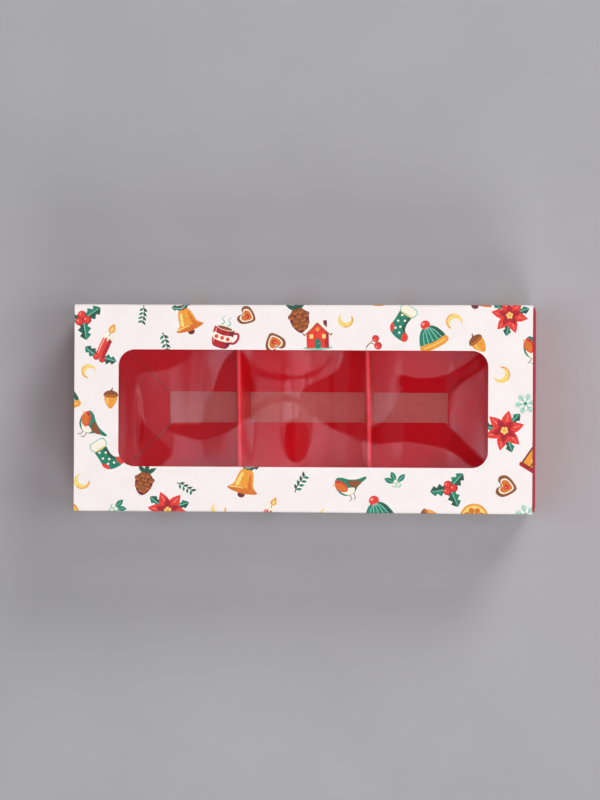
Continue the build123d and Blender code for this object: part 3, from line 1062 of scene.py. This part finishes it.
def long_walls_settle(point, s):
    """The free edges of the floor flaps turn askew, and each long wall's two layers bow towards
    each other a little between the corners."""
    point = point + Vector((tray_middle, 0, 0))
    if s < front_run:
        point.y += front_skew * point.x * (1 - s / front_run)
    elif s > whole - back_run:
        point.y += back_skew * point.x * (1 - (whole - s) / back_run)
    middle = cos(pi / 2 * min(abs(point.x - tray_middle) / 80, 1)) ** 2
    height = sin(pi * min(max((point.z - 2) / 41, 0), 1))
    side = 1 if point.y > 0 else -1
    # The outer wall lies past 39.5 mm and the inner one past 38.6 mm; floor and hem stay put.
    if abs(point.y) > 39.5 and 2 < point.z < 43.2:
        point.y -= side * long_wall_bow * middle * height
    elif abs(point.y) > 38.6 and 2.6 < point.z < 43.2:
        point.y += side * inner_wall_bow * middle * height
    return point


across_sheet = folded_card(
    "tray_base_and_long_walls", (front_flap_extra - bare_strip_half_width, flap_middle), 180,
    front_section + [base_run] + back_section[::-1], reaches, "x", "right", long_walls_settle)
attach(across_sheet, "tray")
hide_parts("tray_base_panel", "tray_back_outer_wall", "tray_front_outer_wall",
            "tray_back_inner_wall", "tray_front_inner_wall", "tray_back_floor_flap",
            "tray_front_floor_flap")

end_fold_starts = tray_half_length - tray_fold
end_section = [(90, tray_fold - tray_card / 2), outer_fall, (180, hem_radius - tray_card / 2),
               hem_height - tray_underside - flap_lift]
hem_reach = inner_half_width - hem_gap
past_the_end = 400
end_reaches = [
    (0, tray_half_width - tray_fold),
    (base_turn, tray_half_width - tray_fold),
    (base_turn + end_shoulder, tray_half_width),
    (base_turn + outer_fall - end_shoulder, tray_half_width),
    (base_turn + outer_fall, hem_reach),
    (past_the_end, hem_reach),
]
# Each end flap hinges on a small bead with a gap to its wall, and its crease is eased.
hinge_gap = 0.15
hinge_bead = 0.1
crease_relief = 0.27
hinge_at = inner_half_length - hinge_gap - tray_card / 2
flap_reach = inner_half_width - mitre_gap - hinge_gap - tray_card / 2 - crease_relief
flap_length = flap_depth - hinge_gap - tray_card / 2
for side, end in ((1, "right"), (-1, "left")):

    def end_settle(point, s):
        """The end wall about the tray's middle, turned round for the left one."""
        return Vector((tray_middle + side * point.x, side * point.y, point.z))

    wall = folded_card(
        "tray_" + end + "_end_wall", (end_fold_starts, tray_underside + tray_card / 2), 0,
        end_section, end_reaches, "y", "right", end_settle)
    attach(wall, "tray")
    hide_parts("tray_" + end + "_outer_wall", "tray_" + end + "_inner_wall")

    # The end walls' floor flaps are the only free ones: they hinge up on their creases.
    flap = folded_card(
        "tray_" + end + "_end_flap", (hinge_at + hinge_bead, flap_middle), 180,
        [hinge_bead + crease_relief, flap_length - crease_relief],
        [(0, flap_reach), (hinge_bead + crease_relief, flap_reach),
         (flap_length + hinge_bead, bare_strip_half_width - mitre_gap)],
        "y", "right", end_settle)
    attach(flap, end + "_floor_flap")
    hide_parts("tray_" + end + "_floor_flap")

# The corner tabs, folded off the long walls and held between the layers of the end walls, keep
# their solids: they are flat card that shows only as a raw edge under the hems.
for name in ("tray_back_right_tab", "tray_front_right_tab", "tray_front_left_tab",
             "tray_back_left_tab"):
    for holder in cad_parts[name].material_slots:
        holder.material = red_print

# The dividers: two cards of the same red board, each folded over a narrow crest to an
# upside-down V. Nothing holds them but their fit between the long walls, so both lie a little
# askew in the tray.

crest_radius = 0.9 - tray_card / 2
crest_height = 42.25
foot_height = 1.93
divider_reach = 38.5
# Each divider's side, its place along the box and how far its leaves lean, in degrees.
divider_places = (("left", -26.4 + tray_middle, 2.7), ("right", 24.4 + tray_middle, 1.4))
askew = 1.2
leaf_wave = 0.12

# The dividers' red is varnished like the tray's, a little glossier.
varnished_print = board_finish("varnished_red_boxboard", "#F80C1C", "#F40818", 7.0, 0.3)
# Along the fold the crest's red is painted paler, a painted highlight; it is also shinier, which
# is the shader's own gloss.
crest_print_painted_highlight = board_finish("red_print_with_painted_crest_highlight", "#EE333F", "#E92C38", 3.0, 0.32, gloss=0.6)

for name, place, lean in divider_places:
    angle = radians(lean)
    leaf = (crest_height + crest_radius * sin(angle) - foot_height) / cos(angle)
    foot = (-crest_radius * cos(angle) - leaf * sin(angle),
            crest_height + crest_radius * sin(angle) - leaf * cos(angle))

    def divider_settle(point, s):
        """The card stands askew, and its leaves are a little wavy along the crest."""
        wave = sin(point.y / 11 + (0 if name == "left" else 2)) * (1 - abs(point.y) / 60)
        turned_x = place + point.x - point.y * sin(radians(askew))
        return Vector((turned_x + leaf_wave * wave, point.y * cos(radians(askew)), point.z))

    # Its crest takes the paler print, a painted highlight.
    card = folded_card(
        name + "_folded_divider", foot, 90 - lean, [leaf, (-180 + 2 * lean, crest_radius), leaf],
        [(0, divider_reach), (past_the_end, divider_reach)], "y", "left", divider_settle,
        length_step=4.0, prints=(varnished_print, crest_print_painted_highlight))
    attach(card, name + "_divider")
    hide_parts(name + "_divider")

# The table and the light: a plain grey laminate top in a pale room. Straight overhead is the
# stand that the camera hangs from, with a pale screen at its front and dark cloth at its back.

table_half_width = 6.0
table_corners = ((-1, -1), (1, -1), (1, 1), (-1, 1))
table = make_piece(
    "grey_table_top",
    [(x * table_half_width, y * table_half_width, -0.0001) for x, y in table_corners],
    [(0, 1, 2, 3)],
    [board_finish("matt_grey_laminate", "#AAA9AD", "#A7A6AA", 60.0, 0.8)],
    [0],
)

world = bpy.data.worlds.new("pale_room")
world.use_nodes = True
bpy.context.scene.world = world
tree = world.node_tree
tree.nodes.clear()
way = add_node(tree, "TexCoord")
axes = add_node(tree, "SeparateXYZ", (), {0: way.outputs["Generated"]})
directions = {"x": axes.outputs[0], "y": axes.outputs[1], "z": axes.outputs[2]}
for axis in "xy":
    directions["either " + axis] = add_node(tree, "Math", {"operation": "ABSOLUTE"},
                                            {0: directions[axis]})

# The room by the direction that light comes from: each row runs smoothly between two values as
# the direction goes from the first to the second place along an axis. The film mirrors only
# the narrow part straight overhead, so most of the rows shade the stand that it shows.
room_rows = {
    "ceiling": ("z", 0.84, 0.92, 0.1, 0.12),
    "stand_across": ("either x", 0.26, 0.34, 1, 0),
    "stand_along": ("either y", 0.09, 0.14, 1, 0),
    "stand_up": ("z", 0.4, 0.6, 0, 1),
    "screen": ("y", -0.013, -0.001, 1.15, 0.42),
    "screen_foot": ("y", -0.03, -0.018, 0.74, 1.0),
    "screen_left": ("x", -0.085, -0.045, 0.35, 1.0),
    "screen_middle": ("x", -0.034, -0.012, 1.15, 0.57),
    "screen_right": ("x", 0.0, 0.05, 1.0, 2.0),
    "cloth": ("x", -0.028, -0.012, 0.13, 0.008),
    "screen_step": ("x", -0.06, -0.045, 0.008, 0.0),
}
shades = {}
for row, (axis, low, high, start, end) in room_rows.items():
    shades[row] = add_node(tree, "MapRange",
                           {"interpolation_type": "SMOOTHSTEP", "From Min": low, "From Max": high,
                            "To Min": start, "To Max": end}, {"Value": directions[axis]})
products = (
    ("stand", "stand_across", "stand_along", "stand_up"),
    ("lit_screen", "screen", "screen_foot", "screen_left", "screen_middle", "screen_right"),
)
for product, first, *others in products:
    shades[product] = shades[first]
    for row in others:
        shades[product] = add_node(tree, "Math", {"operation": "MULTIPLY"},
                                   {0: shades[product], 1: shades[row]})
# The screen ends a little behind the middle, and sooner at the far left.
screen_edge = add_node(tree, "Math", {"operation": "ADD"},
                       {0: directions["y"], 1: shades["screen_step"]})
past_screen = add_node(tree, "MapRange",
                       {"interpolation_type": "SMOOTHSTEP", "From Min": 0.004, "From Max": 0.007},
                       {"Value": screen_edge})
stand_light = add_node(tree, "Mix", (),
                       {0: past_screen, 2: shades["lit_screen"], 3: shades["cloth"]})
# Gloss sees a dim room, so that the reds stay deep, and everything else its plain pale light.
rays = add_node(tree, "LightPath")
room = add_node(tree, "Mix", {3: tone("#ADADAF")[0]},
                {0: rays.outputs["Is Glossy Ray"], 2: shades["ceiling"]})
strength = add_node(tree, "Mix", (), {0: shades["stand"], 2: room, 3: stand_light})
tint = add_node(tree, "Mix", {"data_type": "RGBA", 6: tone("#FFFFFF"), 7: tone("#F4ECFF")},
                {0: shades["stand"]})
light = add_node(tree, "Background", (), {"Color": tint.outputs[2], "Strength": strength})
backdrop = add_node(tree, "Background", {"Color": tone("#ADADAF")})
seen = add_node(tree, "MixShader", (), {0: rays.outputs["Is Camera Ray"], 1: light, 2: backdrop})
add_node(tree, "OutputWorld", links={"Surface": seen})

# Two lamps hang almost straight overhead, a little behind the box and in front of it, with a
# fill at each side of it, and two large softboxes stand further off, to the right. The window
# film would mirror the first four as spots, so they don't show in gloss. Each row has a place in
# metres, a size, watts, and whether it shows in gloss.
for name, place, size, watts, in_gloss in (
    ("overhead_back_lamp", (0.1, 0.95, 2.1), (0.45, 0.45), 4.1, False),
    ("overhead_front_lamp", (0.1, -0.95, 2.1), (0.45, 0.45), 4.1, False),
    ("left_fill", (-0.75, 0.0, 2.1), (0.7, 0.9), 7.5, False),
    ("right_fill", (1.1, 0.0, 1.9), (0.7, 0.9), 8.5, False),
    ("back_softbox", (1.02, 1.77, 1.43), (0.9, 0.9), 27.5, True),
    ("front_softbox", (0.7, -1.9, 1.47), (1.2, 1.2), 24.5, True),
):
    lamp = bpy.data.lights.new(name, "AREA")
    lamp.shape = "RECTANGLE"
    lamp.size, lamp.size_y = size
    lamp.energy = watts
    holder = bpy.data.objects.new(name, lamp)
    bpy.context.scene.collection.objects.link(holder)
    holder.location = place
    towards_box = Vector((0, 0, 0.02)) - Vector(place)
    holder.rotation_euler = towards_box.to_track_quat("-Z", "Y").to_euler()
    holder.visible_glossy = in_gloss

# The camera: nearly straight overhead, a little to the right of the middle and turned by a
# hair, with a long lens that frames a picture 600 wide and 800 high.

photo_width = 600
photo_scale = 0.3925
sensor = 36.0
camera_at = Vector((38.0, 0.0, sleeve_height + view_height)) * mm
camera_aim = Vector((-1.2, 3.4, sleeve_height)) * mm
roll = 0.3

camera_data = bpy.data.cameras.new("overhead_camera")
camera_data.sensor_fit = "HORIZONTAL"
camera_data.sensor_width = sensor
camera_data.lens = sensor * (camera_at - camera_aim).length / (photo_width * photo_scale * mm)
camera_data.clip_end = 50
camera = bpy.data.objects.new("overhead_camera", camera_data)
bpy.context.scene.collection.objects.link(camera)
backwards = (camera_at - camera_aim).normalized()
level = Vector((-sin(radians(roll)), cos(radians(roll)), 0))
rightwards = level.cross(backwards).normalized()
turned = Matrix((rightwards, backwards.cross(rightwards), backwards)).transposed().to_4x4()
camera.matrix_world = Matrix.Translation(camera_at) @ turned
bpy.context.scene.camera = camera
bpy.context.scene.view_settings.view_transform = "Standard"
